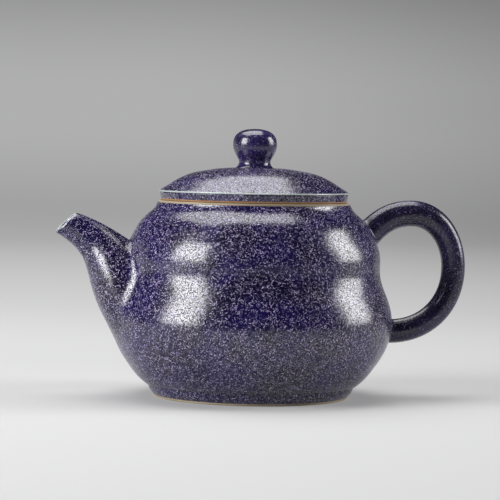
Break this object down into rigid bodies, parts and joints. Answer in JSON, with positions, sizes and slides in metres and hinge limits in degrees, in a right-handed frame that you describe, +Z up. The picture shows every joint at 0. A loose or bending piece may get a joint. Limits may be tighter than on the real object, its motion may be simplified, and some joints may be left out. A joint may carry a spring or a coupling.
{
  "type": "teapot",
  "caption": "Round lidded teapot in dark speckled glaze over bare clay, with a lofted spout, a loop handle and a domed lid under a ball knob.",
  "frame": {"origin": "centre of the circle that the foot ring rests on", "axes": "+Z up; the spout points toward -X and the handle toward +X"},
  "size_m": [0.1387, 0.0936, 0.0892],
  "materials": {
    "glaze": "glossy dark indigo glaze with dense pale needle flecks",
    "dark_glaze": "glossy near-black indigo glaze with faint flecks",
    "clay": "bare fired orange-tan clay, matt and fine-grained"
  },
  "bodies": {
    "pot": {"body": "glaze", "base_disc": "clay", "foot_ring": "glaze", "mouth_ring": "clay", "spout": "glaze", "strainer": "clay", "handle": "dark_glaze"},
    "lid": {"lid_cover": "glaze", "lid_plate": "glaze", "lid_flange": "clay", "knob": "dark_glaze"}
  },
  "joints": [
    {"name": "lid_lift", "type": "slide", "parent": "pot", "child": "lid", "axis": [0, 0, 1], "range_m": [0, 0.055]}
  ]
}
